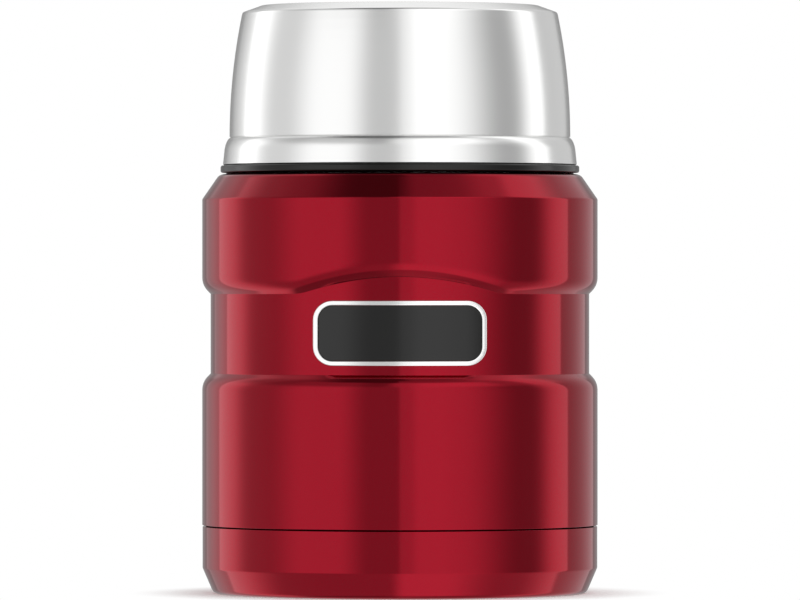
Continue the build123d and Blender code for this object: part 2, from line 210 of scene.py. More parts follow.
def wall_of(corners: Sequence[Corner], wall: float, hem: float) -> list[Corner]:
    """Closes a path of corners into the outline of a thin wall.

    Args:
        corners: the outside, in millimetres.
        wall: thickness, to the left of the path, or to its right if negative.
        hem: rounding of the wall's free end.

    Returns:
        The corners of the wall's outline, outside first, then the inside back to the start.
    """
    inside = set_in(corners, wall)
    last, inner_last = corners[-1], inside[-1]
    outside = [*corners[:-1], (last[0], last[1], hem)]
    return [*outside, (inner_last[0], inner_last[1], hem), *reversed(inside[:-1])]


# ---------------------------------------------------------------- modelling bench


def start_fresh() -> None:
    """Leaves edit mode and deselects everything."""
    if bpy.context.mode != "OBJECT":
        bpy.ops.object.mode_set(mode="OBJECT")
    bpy.ops.object.select_all(action="DESELECT")


def activate(piece: Piece) -> None:
    """Makes a piece the active object and the only selected one."""
    start_fresh()
    piece.select_set(True)
    bpy.context.view_layer.objects.active = piece


def edit_all() -> None:
    """Enters edit mode on the active object with all of it selected."""
    bpy.ops.object.mode_set(mode="EDIT")
    bpy.ops.mesh.select_all(action="SELECT")


def shift_selected(shift: Triple) -> None:
    """Moves what is selected by millimetres."""
    bpy.ops.transform.translate(value=tuple(c * MM for c in shift))


def trace(path: Sequence[Triple]) -> None:
    """Draws a chain of edges; edit mode stays on, with all of the chain selected.

    A plane is merged to one point, and the point is extruded along the path.

    Args:
        path: X, Y and Z of each point, in millimetres.
    """
    start_fresh()
    bpy.ops.mesh.primitive_plane_add(size=MM, location=(0, 0, 0))
    edit_all()
    bpy.ops.mesh.merge(type="CENTER")
    shift_selected(path[0])
    for here, there in pairwise(path):
        move = {"value": tuple((b - a) * MM for a, b in zip(here, there, strict=True))}
        bpy.ops.mesh.extrude_vertices_move(TRANSFORM_OT_translate=move)
    bpy.ops.mesh.select_all(action="SELECT")


def finish_mesh(name: str) -> Piece:
    """Names the active object, applies its place and smooths it.

    Args:
        name: the piece's name.

    Returns:
        The finished object, at the origin.
    """
    if bpy.context.mode != "OBJECT":
        bpy.ops.object.mode_set(mode="OBJECT")
    piece = bpy.context.object
    piece.name = name
    piece.data.name = name
    bpy.ops.object.transform_apply(location=True, rotation=True, scale=True)
    bpy.ops.object.shade_smooth_by_angle(angle=SMOOTH_ANGLE)
    return piece


def lathe(name: str, section: Sequence[Point], closed: bool = False, steps: int = SPIN_STEPS) -> Piece:
    """Turns a section about the Z axis.

    Args:
        name: the piece's name.
        section: radius and height of each point, in millimetres.
        closed: whether the section's end joins its start; a section from axis to axis stays open.
        steps: how many columns the turned mesh has.

    Returns:
        The turned solid.
    """
    path = [*section, section[0]] if closed else section
    trace([(r, 0, z) for r, z in path])
    bpy.ops.mesh.spin(steps=steps, angle=math.tau, center=(0, 0, 0), axis=(0, 0, 1))
    bpy.ops.mesh.select_all(action="SELECT")
    bpy.ops.mesh.remove_doubles(threshold=WELD)
    bpy.ops.mesh.normals_make_consistent(inside=False)
    return finish_mesh(name)


def join(name: str, pieces: Sequence[Piece]) -> Piece:
    """Joins closed pieces into one object.

    Args:
        name: the joined piece's name.
        pieces: the objects to join.

    Returns:
        The joined object.
    """
    activate(pieces[0])
    for piece in pieces:
        piece.select_set(True)
    bpy.ops.object.join()
    return finish_mesh(name)


def copied(piece: Piece, turn: float = 0, shift: Triple = (0, 0, 0)) -> Piece:
    """Copies a finished piece with a mesh of its own.

    Args:
        piece: the piece.
        turn: the copy's turn about the Z axis, in degrees.
        shift: how far the copy moves, in millimetres.

    Returns:
        The copy.
    """
    copy = piece.copy()
    copy.data = piece.data.copy()
    bpy.context.scene.collection.objects.link(copy)
    copy.rotation_euler = (0, 0, math.radians(turn))
    copy.location = Vector(shift) * MM
    activate(copy)
    return finish_mesh(piece.name)


def block(size: Triple, place: Triple, edge: float) -> Piece:
    """A block with rounded edges.

    Args:
        size: lengths along X, Y and Z in millimetres.
        place: its middle in millimetres.
        edge: radius of the rounded edges in millimetres.

    Returns:
        The block.
    """
    start_fresh()
    bpy.ops.mesh.primitive_cube_add(size=MM, location=(0, 0, 0))
    edit_all()
    bpy.ops.transform.resize(value=size, center_override=(0, 0, 0))
    shift_selected(place)
    bpy.ops.mesh.bevel(offset=edge * MM, segments=EDGE_FACETS, affect="EDGES")
    return finish_mesh("block")


def thicken(thick: float, edge: float, facets: int) -> None:
    """Extrudes the selected faces to a plate and rounds its edges; edit mode stays on.

    Args:
        thick: the plate's thickness in millimetres.
        edge: radius of the rounded edges in millimetres.
        facets: how many facets each rounded edge has.
    """
    bpy.ops.mesh.extrude_region_move(TRANSFORM_OT_translate={"value": (0, 0, thick * MM)})
    bpy.ops.mesh.select_all(action="SELECT")
    bpy.ops.mesh.normals_make_consistent(inside=False)
    bpy.ops.mesh.select_all(action="DESELECT")
    bpy.ops.mesh.edges_select_sharp(sharpness=SHARP_ANGLE)
    bpy.ops.mesh.bevel(offset=edge * MM, segments=facets, affect="EDGES")


def plate(
    name: str, outline: Sequence[Corner], low: float, thick: float, edge: float, hole: Triple | None = None
) -> Piece:
    """A flat plate with rounded edges; all lengths are in millimetres.

    Args:
        name: the piece's name.
        outline: X, Y and rounding of each corner; it starts and ends at one point within a straight.
        low: height of its underside.
        thick: its thickness.
        edge: radius of the rounded edges.
        hole: X, Y and radius of a round hole.

    Returns:
        The plate.
    """
    trace([(x, y, low) for x, y in rounded(outline, hold=math.inf)])
    bpy.ops.mesh.remove_doubles(threshold=WELD)
    bpy.ops.mesh.edge_face_add()
    thicken(thick, edge, EDGE_FACETS)
    bpy.ops.mesh.select_all(action="DESELECT")
    bpy.ops.object.mode_set(mode="OBJECT")
    for face in bpy.context.object.data.polygons:
        face.select = abs(face.normal.z) > FLAT_LIMIT
    bpy.ops.object.mode_set(mode="EDIT")
    bpy.ops.mesh.inset(thickness=edge * MM)
    piece = finish_mesh(name)
    if hole:
        drill_through(piece, hole, low + thick / 2, thick / 2)
    return piece


def drill_through(piece: Piece, hole: Triple, middle: float, half: float) -> None:
    """Cuts a round hole with softened edges through a flat plate; all lengths are in millimetres.

    Args:
        piece: the plate.
        hole: X, Y and radius of the hole.
        middle: height of the plate's middle.
        half: half its thickness.
    """
    radius, soft = hole[2], half / 3
    flare = (radius + DRILL_FLARE * soft, soft + half, 0)
    upper: list[Corner] = [(0, flare[1], 0), flare, (radius, half - soft, soft)]
    drill = lathe("drill", rounded([*upper, *mirrored(upper)]), steps=FINE_STEPS)
    drill.location = Vector((hole[0], hole[1], middle)) * MM
    activate(piece)
    cut = piece.modifiers.new("hole", "BOOLEAN")
    cut.operation, cut.object = "DIFFERENCE", drill
    bpy.ops.object.modifier_apply(modifier=cut.name)
    bpy.data.objects.remove(drill)
    finish_mesh(piece.name)


@dataclass(frozen=True)
class Screw:
    """What both halves of a screw share, in millimetres."""

    height: float
    pitch: float
    starts: int


MOUTH_SCREW = Screw(8.0, 4.0, 3)
BOWL_SCREW = Screw(5.4, 4.5, 4)


@dataclass(frozen=True)
class Thread:
    """Screw thread ridges on a round wall; all lengths are in millimetres and angles in degrees."""

    screw: Screw
    root: float
    crest: float
    low: float
    turn: float = 0
    base: float = 2.4
    top: float = 1.2
    bite: float = 0.25
    fade: float = 14
    sink: float = 0.02
    step: float = 3

    def ridges(self) -> list[Piece]:
        """All the ridges of the thread."""
        first, starts = self.ridge(), self.screw.starts
        return [first, *(copied(first, 360 / starts * i) for i in range(1, starts))]

    def ridge(self) -> Piece:
        """One ridge: a trapezium screwed up the wall, run out to nothing at both ends."""
        side = math.copysign(1, self.crest - self.root)
        foot = self.root - side * self.bite
        slope = (self.base - self.top) / 2 / abs(self.crest - self.root)
        foot_half = self.base / 2 + slope * self.bite
        climb = self.screw.height - 2 * foot_half
        sweep = 360 * climb / (self.screw.pitch * self.screw.starts)
        start_fresh()
        bpy.ops.mesh.primitive_plane_add(size=2 * MM, location=(0, 0, 0))
        piece = bpy.context.object
        for vertex in piece.data.vertices:
            crest = vertex.co.x > 0
            half = self.top / 2 if crest else foot_half
            vertex.co = Vector((self.crest if crest else foot, 0, math.copysign(half, vertex.co.y))) * MM
        screw = piece.modifiers.new("screw", "SCREW")
        screw.axis = "Z"
        screw.angle = math.radians(sweep)
        screw.screw_offset = climb * MM
        screw.steps = screw.render_steps = round(sweep / self.step)
        bpy.ops.object.modifier_apply(modifier=screw.name)
        self.run_out(piece, side, sweep)
        edit_all()
        bpy.ops.mesh.remove_doubles(threshold=WELD)
        bpy.ops.mesh.select_all(action="DESELECT")
        bpy.ops.mesh.select_non_manifold()
        bpy.ops.mesh.fill_holes(sides=4)
        bpy.ops.mesh.select_all(action="SELECT")
        bpy.ops.mesh.normals_make_consistent(inside=False)
        bpy.ops.object.mode_set(mode="OBJECT")
        piece.rotation_euler = (0, 0, math.radians(self.turn))
        piece.location = (0, 0, (self.low + foot_half) * MM)
        return finish_mesh("ridge")

    def run_out(self, piece: Piece, side: float, sweep: float) -> None:
        """Lowers the crest to the wall at both ends of a ridge.

        Args:
            piece: the ridge, which starts at angle 0.
            side: 1 for a thread outside a wall, -1 for one inside a bore.
            sweep: the angle that the ridge covers.
        """
        for vertex in piece.data.vertices:
            radius = math.hypot(vertex.co.x, vertex.co.y)
            if (radius / MM - self.root) * side <= 0:
                continue
            angle = math.degrees(math.atan2(vertex.co.y, vertex.co.x)) % 360
            share = max(0.0, min(1.0, angle / self.fade, (sweep - angle) / self.fade)) ** 0.5
            reach = self.root + (radius / MM - self.root) * share - side * self.sink * (1 - share)
            vertex.co.x *= reach * MM / radius
            vertex.co.y *= reach * MM / radius


# ---------------------------------------------------------------- finishes


class Bench:
    """Short ways to add and join nodes on one node tree."""

    def __init__(self, tree: bpy.types.NodeTree) -> None:
        """Takes the tree to work on.

        Args:
            tree: the node tree.
        """
        self.tree = tree

    def add(self, kind: str, inputs: dict[str | int, object] | None = None, **settings: object) -> bpy.types.Node:
        """Adds a node.

        Args:
            kind: the node's type.
            inputs: what goes into its sockets, as values or as other nodes' outputs.
            settings: its own properties.

        Returns:
            The node.
        """
        node = self.tree.nodes.new(kind)
        for key, value in settings.items():
            setattr(node, key, value)
        for key, value in (inputs or {}).items():
            if isinstance(value, Socket):
                self.tree.links.new(value, node.inputs[key])
            else:
                node.inputs[key].default_value = value
        return node

    def sum(self, operation: str, *values: Socket | float) -> Socket:
        """The result of one arithmetic operation."""
        return self.add("ShaderNodeMath", dict(enumerate(values)), operation=operation).outputs[0]

    def ramp(self, value: Socket, start: float, end: float, low: float = 0, high: float = 1) -> Socket:
        """A smooth change from low to high as the value goes from start to end."""
        inputs = {"Value": value, "From Min": start, "From Max": end, "To Min": low, "To Max": high}
        return self.add("ShaderNodeMapRange", inputs, interpolation_type="SMOOTHSTEP").outputs["Result"]


class Sheet(Bench):
    """A material's nodes."""

    def __init__(self, name: str) -> None:
        """Makes the material and its shader.

        Args:
            name: the material's name.
        """
        self.material = bpy.data.materials.new(name)
        self.material.use_nodes = True
        super().__init__(self.material.node_tree)
        self.shader = self.tree.nodes["Principled BSDF"]
        self.place = self.add("ShaderNodeTexCoord").outputs["Object"]

    def noise(self, scale: float, detail: float = 2, where: Socket | None = None) -> Socket:
        """A noise value at the given scale."""
        inputs = {"Vector": where or self.place, "Scale": scale, "Detail": detail}
        return self.add("ShaderNodeTexNoise", inputs).outputs["Fac"]

    def cells(self, scale: float, output: str = "Distance") -> Socket:
        """A cell pattern's distance or colour."""
        return self.add("ShaderNodeTexVoronoi", {"Vector": self.place, "Scale": scale}).outputs[output]

    def spread(self, value: Socket, low: float, high: float) -> Socket:
        """A 0 to 1 value spread to a range."""
        return self.add("ShaderNodeMapRange", {"Value": value, "To Min": low, "To Max": high}).outputs["Result"]

    def around(self, value: Socket, middle: float, reach: float) -> Socket:
        """A 0 to 1 value spread evenly round a middle."""
        return self.spread(value, middle - reach, middle + reach)

    def blend(self, share: Socket, low: Colour | Socket, high: Colour) -> Socket:
        """A colour between two others."""
        start = low if isinstance(low, Socket) else (*low, 1)
        return self.add("ShaderNodeMix", {"Factor": share, 6: start, 7: (*high, 1)}, data_type="RGBA").outputs[2]

    def bump(self, height: Socket, depth: float) -> Socket:
        """A normal tilted by a height of the given depth in metres."""
        return self.add("ShaderNodeBump", {"Height": height, "Distance": depth}).outputs["Normal"]

    def lines(self, grain: Grain, scale: float) -> Socket:
        """Fine lines that run one way over a face."""
        if grain is Grain.LENGTHWISE:
            mapping = self.add("ShaderNodeMapping", {"Vector": self.place, "Scale": (40, scale, scale)})
            return self.noise(1, 3, mapping.outputs["Vector"])
        split = self.add("ShaderNodeSeparateXYZ", {0: self.place})
        flat = self.add("ShaderNodeVectorMath", {0: self.place, 1: (1, 1, 0)}, operation="MULTIPLY").outputs[0]
        radius = self.add("ShaderNodeVectorMath", {0: flat}, operation="LENGTH").outputs["Value"]
        across = self.sum("MULTIPLY", radius, scale)
        upward = self.sum("MULTIPLY", split.outputs["Z"], scale)
        drift = self.sum("MULTIPLY", split.outputs["X"], 55.0)
        where = self.add("ShaderNodeCombineXYZ", {0: across, 1: upward, 2: drift}).outputs[0]
        return self.noise(1, 3, where)

    def feed(self, **sockets: object) -> None:
        """Sets or links the shader's sockets, with underscores for spaces."""
        for key, value in sockets.items():
            socket = self.shader.inputs[key.replace("_", " ")]
            if isinstance(value, Socket):
                self.tree.links.new(value, socket)
            elif socket.type == "RGBA":
                socket.default_value = (*value, 1)
            else:
                socket.default_value = value

    def glow(self, strength: Socket | float) -> Socket:
        """White light of the given strength."""
        return self.add("ShaderNodeEmission", {"Color": (1, 1, 1, 1), "Strength": strength}).outputs[0]

    def show(self, surface: Socket) -> None:
        """Shows a surface in place of the shader's own."""
        self.tree.links.new(surface, self.tree.nodes["Material Output"].inputs["Surface"])


def tinted(colour: Colour, factor: float) -> Colour:
    """A colour made lighter or darker."""
    return tuple(min(1.0, c * factor) for c in colour)


@dataclass(frozen=True)
class Finish:
    """A surface finish, which makes its material once."""

    name: str
    colour: Colour
    roughness: float

    def paint(self, sheet: Sheet) -> None:
        """Lays out the finish's nodes.

        Args:
            sheet: the material's nodes.
        """
        raise NotImplementedError

    def tones(self, sheet: Sheet, share: Socket, low: float, high: float) -> Socket:
        """The finish's colour between a darker and a lighter tone."""
        return sheet.blend(share, tinted(self.colour, low), tinted(self.colour, high))

    def material(self) -> bpy.types.Material:
        """The finish's material, made on first use."""
        if self.name not in bpy.data.materials:
            self.paint(Sheet(self.name))
        return bpy.data.materials[self.name]


@dataclass(frozen=True)
class CandyEnamel(Finish):
    """Metallic enamel under a clear coat, with fine flakes, faint orange peel and a slow drift of colour."""

    flake: float = 5200
    flake_tilt: float = 2e-7
    flake_light: float = 0.04
    flake_tone: float = 1.6
    drift: float = 26
    grain: float = 900
    peel: float = 420
    peel_depth: float = 4e-7
    coat_roughness: float = 0.02
    coat_ior: float = 1.2
    edge: Colour = (1.0, 0.74, 0.77)

    def paint(self, sheet: Sheet) -> None:
        """Lays out the finish's nodes."""
        flakes = sheet.cells(self.flake, "Color")
        sparkle = sheet.add("ShaderNodeSeparateColor", {"Color": flakes}).outputs["Red"]
        drift = self.tones(sheet, sheet.noise(self.drift, 1), 0.95, 1.05)
        lit = sheet.spread(sparkle, 0, self.flake_light)
        sheet.feed(
            Base_Color=sheet.blend(lit, drift, tinted(self.colour, self.flake_tone)),
            Metallic=1.0,
            Roughness=sheet.around(sheet.noise(self.grain), self.roughness, 0.01),
            Normal=sheet.bump(sparkle, self.flake_tilt),
            Specular_Tint=self.edge,
            Coat_Weight=1.0,
            Coat_Roughness=self.coat_roughness,
            Coat_IOR=self.coat_ior,
            Coat_Normal=sheet.bump(sheet.noise(self.peel, 1), self.peel_depth),
        )


@dataclass(frozen=True)
class FineSteel(Finish):
    """Stainless steel with fine lines and faint clouding."""

    grain: Grain = Grain.RINGS
    lines: float = 9000
    depth: float = 5e-7
    clouds: float = 45
    uneven: float = 0.02

    def paint(self, sheet: Sheet) -> None:
        """Lays out the finish's nodes."""
        lines = sheet.lines(self.grain, self.lines)
        fine = sheet.around(lines, 0, self.uneven)
        rough = sheet.sum("ADD", fine, sheet.around(sheet.noise(self.clouds), self.roughness, self.uneven))
        sheet.feed(
            Base_Color=self.tones(sheet, lines, 0.97, 1),
            Metallic=1.0,
            Roughness=rough,
            Normal=sheet.bump(lines, self.depth),
        )


@dataclass(frozen=True)
class Moulding(Finish):
    """Moulded plastic or baked enamel with a fine grain and faint wear of its tone."""

    grain: float = 3800
    depth: float = 6e-6
    shine: float = 0.5
    wear: float = 60

    def paint(self, sheet: Sheet) -> None:
        """Lays out the finish's nodes."""
        grain = sheet.noise(self.grain, 3)
        sheet.feed(
            Specular_IOR_Level=self.shine,
            Base_Color=self.tones(sheet, sheet.noise(self.wear), 0.9, 1.15),
            Roughness=sheet.around(grain, self.roughness, 0.06),
            Normal=sheet.bump(grain, self.depth),
        )


@dataclass(frozen=True)
class SoftRubber(Finish):
    """Matt silicone with a dusty mottle."""

    mottle: float = 140
    grain: float = 2400
    depth: float = 3e-6
    scatter: float = 0.002

    def paint(self, sheet: Sheet) -> None:
        """Lays out the finish's nodes."""
        mottle = sheet.noise(self.mottle, 3)
        sheet.feed(
            Base_Color=self.tones(sheet, mottle, 0.92, 1.12),
            Roughness=sheet.around(mottle, self.roughness, 0.05),
            Normal=sheet.bump(sheet.noise(self.grain), self.depth),
            Subsurface_Weight=0.15,
            Subsurface_Radius=(self.scatter,) * 3,
        )


@dataclass(frozen=True)
class Powder(Finish):
    """Pressed powder or rigid foam: small cells and a dull face."""

    cell: float = 1500
    depth: float = 5e-5

    def paint(self, sheet: Sheet) -> None:
        """Lays out the finish's nodes."""
        cells = sheet.cells(self.cell)
        sheet.feed(
            Base_Color=self.tones(sheet, cells, 1, 0.8),
            Roughness=sheet.around(cells, self.roughness, 0.05),
            Normal=sheet.bump(cells, self.depth),
        )


@dataclass(frozen=True)
class CrinkledFoil(Finish):
    """Bright foil with shallow creases, and painted shade that darkens its colour towards the crease lines."""

    crease: float = 190
    depth: float = 1.5e-4

    def paint(self, sheet: Sheet) -> None:
        """Lays out the finish's nodes."""
        creases = sheet.cells(self.crease)
        sheet.feed(
            # Painted shade: the foil's colour darkens to 0.93 of its tone towards the crease lines between the cells.
            Base_Color=self.tones(sheet, creases, 1, 0.93),
            Metallic=1.0,
            Roughness=sheet.spread(creases, self.roughness, self.roughness + 0.12),
            Normal=sheet.bump(creases, self.depth),
        )


RED_ENAMEL = CandyEnamel("red_enamel", (0.285, 0.0018, 0.0125), 0.1)
BOWL_STEEL = FineSteel("bowl_satin_steel", (0.87, 0.87, 0.865), 0.2)
VESSEL_STEEL = FineSteel("vessel_drawn_steel", (0.72, 0.72, 0.71), 0.24, lines=5200, depth=1e-6)
LINING_STEEL = FineSteel("lining_drawn_steel", (0.76, 0.76, 0.75), 0.2, lines=6000, depth=8e-7)
SPOON_STEEL = FineSteel("spoon_polished_steel", (0.8, 0.8, 0.79), 0.15, Grain.LENGTHWISE, lines=5000, depth=4e-7)
RIM_METAL = FineSteel("plaque_rim_metal", (0.93, 0.93, 0.925), 0.16, Grain.LENGTHWISE, lines=7000, depth=4e-7)
SEALING_METAL = FineSteel("sealing_metal", (0.5, 0.5, 0.52), 0.42, Grain.LENGTHWISE, lines=1200, depth=4e-6)
BLACK_PLASTIC = Moulding("black_moulded_plastic", (0.0025, 0.0025, 0.0023), 0.18, depth=1e-6, shine=0.38)
PLAQUE_ENAMEL = Moulding("plaque_charcoal_enamel", (0.0035, 0.0035, 0.0032), 0.16, grain=2600, depth=4e-7, shine=0.44)
GREY_SILICONE = SoftRubber("grey_silicone", (0.3, 0.3, 0.29), 0.5)
BOND_SILICONE = SoftRubber("bonding_silicone", (0.16, 0.16, 0.16), 0.6)
PALE_FOAM = Powder("pale_rigid_foam", (0.82, 0.8, 0.74), 0.85, cell=900)
GETTER_POWDER = Powder("getter_powder", (0.2, 0.19, 0.18), 0.8, cell=2600, depth=2e-5)
WRAP_FOIL = CrinkledFoil("vessel_foil", (0.86, 0.86, 0.85), 0.16)


def dress(piece: Piece, finish: Finish) -> None:
    """Gives a piece or a node one finish all over."""
    piece.data.materials.clear()
    piece.data.materials.append(finish.material())


def settle(piece: Piece, body: Body, finish: Finish, slot: str, *nodes: str) -> None:
    """Dresses a piece, lets it ride on its body and stand for its nodes.

    Args:
        piece: the modelled piece.
        body: the body that it moves with.
        finish: its finish.
        slot: not used.
        nodes: the solids that it stands for.
    """
    dress(piece, finish)
    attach(piece, body.value)
    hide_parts(*nodes)
    LOG.info("  %s: %d faces", piece.name, len(piece.data.polygons))


# ---------------------------------------------------------------- sub-assemblies


@dataclass
class Jar:
    """The vacuum jar: enamelled shell with its waist and arch, foot cup, steel lining and plaque."""

    radius: float = 47.5
    waist_depth: float = 2.02
    step_round: float = 4.5
    step_tilt: float = 44.5
    crease_round: float = 0.15
    wall: float = 0.8
    cup_set_back: float = 0.08
    cup_top: float = 16.04
    seam_gap: float = 0.36
    seam_edge: float = 0.12
    tuck: float = 46.3
    tuck_drop: float = 0.1
    shell_low: float = 6.2
    lower_step: float = 48.86
    upper_step: float = 75.75
    shoulder: float = 94.6
    shoulder_inset: float = 4.15
    top: float = 100.6
    arch_height: float = 4.0
    arch_half_width: float = 23.4
    arch_softness: float = 0.5
    arch_stretch: float = 0.05
    arch_margins: Point = (1.6, 2.5)
    neck_fit: float = 0.05
    mouth_radius: float = 34.5
    vessel_wall: float = 0.6
    vessel_radius: float = 40.9
    vessel_floor: float = 12.8
    vessel_gap: float = 1.5
    vessel_shoulder: float = 5.6
    rim: float = 116.0
    thread_depth: float = 0.9
    thread_low: float = 104.6
    foot_radius: float = 44.8
    foot_width: float = 6.3
    foot_recess: float = 1.6
    bead_radii: Point = (25.4, 29.6)
    bead_slope: float = 0.8
    bead_depth: float = 0.45
    cone_top: float = 6.1
    plaque_size: Point = (41.0, 15.4)
    plaque_corner: float = 4.6
    plaque_columns: int = 40
    plaque_rim: float = 1.15
    plaque_rim_depth: float = 0.95
    plaque_rim_edge: float = 0.25
    plaque_face_depth: float = 0.6
    plaque_face_edge: float = 0.12
    plaque_fit: float = 0.03
    pad_depth: float = 0.2

    @property
    def waist(self) -> float:
        """Radius of the waist."""
        return self.radius - self.waist_depth

    @property
    def step_reach(self) -> float:
        """Distance from a step's corner, if it were sharp, to the start of its rounding."""
        return self.step_round * math.tan(math.radians(self.step_tilt) / 2)

    @property
    def step_rise(self) -> float:
        """Height of a step, from the start of its rounding to the waist."""
        return self.step_reach + self.waist_depth / math.tan(math.radians(self.step_tilt))

    @property
    def neck(self) -> float:
        """Outside radius of the neck."""
        return self.mouth_radius + self.vessel_wall

    def shell_corners(self) -> list[Corner]:
        """Outside of the shell from its foot inside the cup up to the neck's opening."""
        return [
            (self.tuck, self.shell_low, 0),
            (self.tuck, self.cup_top - self.tuck_drop, 0.05),
            (self.radius, self.cup_top + self.seam_gap, self.seam_edge),
            (self.radius, self.lower_step + self.step_reach, self.step_round),
            (self.waist, self.lower_step + self.step_rise, self.crease_round),
            (self.waist, self.upper_step - self.step_rise, self.crease_round),
            (self.radius, self.upper_step - self.step_reach, self.step_round),
            (self.radius, self.shoulder, 0.8),
            (self.radius - self.shoulder_inset, self.top, 2.0),
            (self.neck + self.neck_fit, self.top, 0),
        ]

    def shell(self) -> Piece:
        """The enamelled shell, with the arch pressed over the front of its waist."""
        outline = wall_of(self.shell_corners(), self.wall, 0.1)
        piece = lathe("jar_shell", rounded(outline), closed=True)
        crease = self.upper_step - self.step_rise
        low, high = crease - self.arch_margins[0], self.upper_step + self.arch_margins[1]
        for vertex in piece.data.vertices:
            if vertex.co.y < 0 and low < vertex.co.z / MM < high:
                share = vertex.co.x / math.hypot(vertex.co.x, vertex.co.y)
                climb = min(1.0, max(0.0, (vertex.co.z / MM - crease) / self.step_rise))
                lift = self.arch_lift(self.waist * share)
                vertex.co.z += lift * (1 + self.arch_stretch * climb) * MM
        return piece

    def arch_lift(self, across: float) -> float:
        """How far the arch lifts the upper step.

        Args:
            across: distance from the middle of the front, in millimetres.

        Returns:
            The lift in millimetres, which fades softly to nothing beyond the arch.
        """
        radius = (self.arch_half_width**2 + self.arch_height**2) / 2 / self.arch_height
        rise = self.arch_height - radius + math.sqrt(radius**2 - across**2)
        return (rise + math.sqrt(rise**2 + self.arch_softness**2)) / 2

    def foot_cup(self) -> Piece:
        """The cup round the foot, with its standing ring and recessed underside."""
        outer = self.radius - self.cup_set_back
        ring = self.foot_radius - self.foot_width
        bead = self.foot_recess - self.bead_depth
        bead_in, bead_out = self.bead_radii
        corners: list[Corner] = [
            (0, self.foot_recess, 0),
            (bead_in, self.foot_recess, 0.5),
            (bead_in + self.bead_slope, bead, 0.5),
            (bead_out - self.bead_slope, bead, 0.5),
            (bead_out, self.foot_recess, 0.5),
            (ring, self.foot_recess, 0.8),
            (ring + self.foot_recess, 0, 0.4),
            (self.foot_radius, 0, 1.55),
            (outer, self.cone_top, 0.8),
            (outer, self.cup_top, 0),
        ]
        return lathe("jar_foot_cup", rounded(wall_of(corners, self.wall, self.seam_edge)))

    def vessel(self) -> Piece:
        """The steel lining with its neck, rolled rim and thread."""
        shoulder_end = self.top - self.wall - self.vessel_gap
        corners: list[Corner] = [
            (0, self.vessel_floor, 0),
            (self.vessel_radius, self.vessel_floor, 6.6),
            (self.vessel_radius, shoulder_end - self.vessel_shoulder, 3.0),
            (self.neck, shoulder_end, 1.2),
            (self.neck, self.rim, 0),
        ]
        body = lathe("vessel_wall", rounded(wall_of(corners, self.vessel_wall, 0.28)))
        thread = Thread(MOUTH_SCREW, self.neck, self.neck + self.thread_depth, self.thread_low)
        return join("jar_vessel", [body, *thread.ridges()])

    def plaque_part(self, name: str, margin: float, depth: float, edge: float, rim: float = 0) -> Piece:
        """A rounded plate, or a rim round one, bent to the waist.

        Args:
            name: the piece's name.
            margin: how far it lies inside the plaque's outline.
            depth: its thickness.
            edge: rounding of its edges.
            rim: width of the rim, or 0 for a whole plate.

        Returns:
            The bent part.
        """
        width, height = (side - 2 * margin for side in self.plaque_size)
        start_fresh()
        bpy.ops.mesh.primitive_plane_add(size=MM, location=(0, 0, 0))
        edit_all()
        bpy.ops.transform.resize(value=(width, height, 1), center_override=(0, 0, 0))
        bpy.ops.mesh.bevel(offset=(self.plaque_corner - margin) * MM, segments=12, affect="VERTICES")
        bpy.ops.mesh.select_all(action="SELECT")
        if rim:
            bpy.ops.mesh.inset(thickness=rim * MM)
            bpy.ops.mesh.delete(type="FACE")
        bpy.ops.mesh.select_all(action="SELECT")
        thicken(depth, edge, EDGE_FACETS + 1)
        for i in range(1, self.plaque_columns):
            bpy.ops.mesh.select_all(action="SELECT")
            cut = (i / self.plaque_columns - 0.5) * width * MM
            bpy.ops.mesh.bisect(plane_co=(cut, 0, 0), plane_no=(1, 0, 0))
        bpy.ops.object.mode_set(mode="OBJECT")
        back = self.waist + 2 * self.plaque_fit + self.pad_depth
        low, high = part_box("badge_frame")
        middle = (low.z + high.z) / 2
        for vertex in bpy.context.object.data.vertices:
            x, y, z = vertex.co
            vertex.co = (x, -math.sqrt((back * MM + z) ** 2 - x**2), middle + y)
        edit_all()
        bpy.ops.mesh.normals_make_consistent(inside=False)
        return finish_mesh(name)

    def build(self) -> None:
        """Models and dresses the jar."""
        settle(self.shell(), Body.JAR, RED_ENAMEL, "red_paint", "outer_shell")
        settle(self.foot_cup(), Body.JAR, RED_ENAMEL, "red_paint", "base_cup")
        settle(self.vessel(), Body.JAR, VESSEL_STEEL, "bright_steel", "inner_vessel")
        rim = self.plaque_part("plaque_rim", 0, self.plaque_rim_depth, self.plaque_rim_edge, self.plaque_rim)
        settle(rim, Body.JAR, RIM_METAL, "badge_metal", "badge_frame")
        margin = self.plaque_rim + self.plaque_fit
        face = self.plaque_part("plaque_face", margin, self.plaque_face_depth, self.plaque_face_edge)
        settle(face, Body.JAR, PLAQUE_ENAMEL, "badge_enamel", "badge_plate")


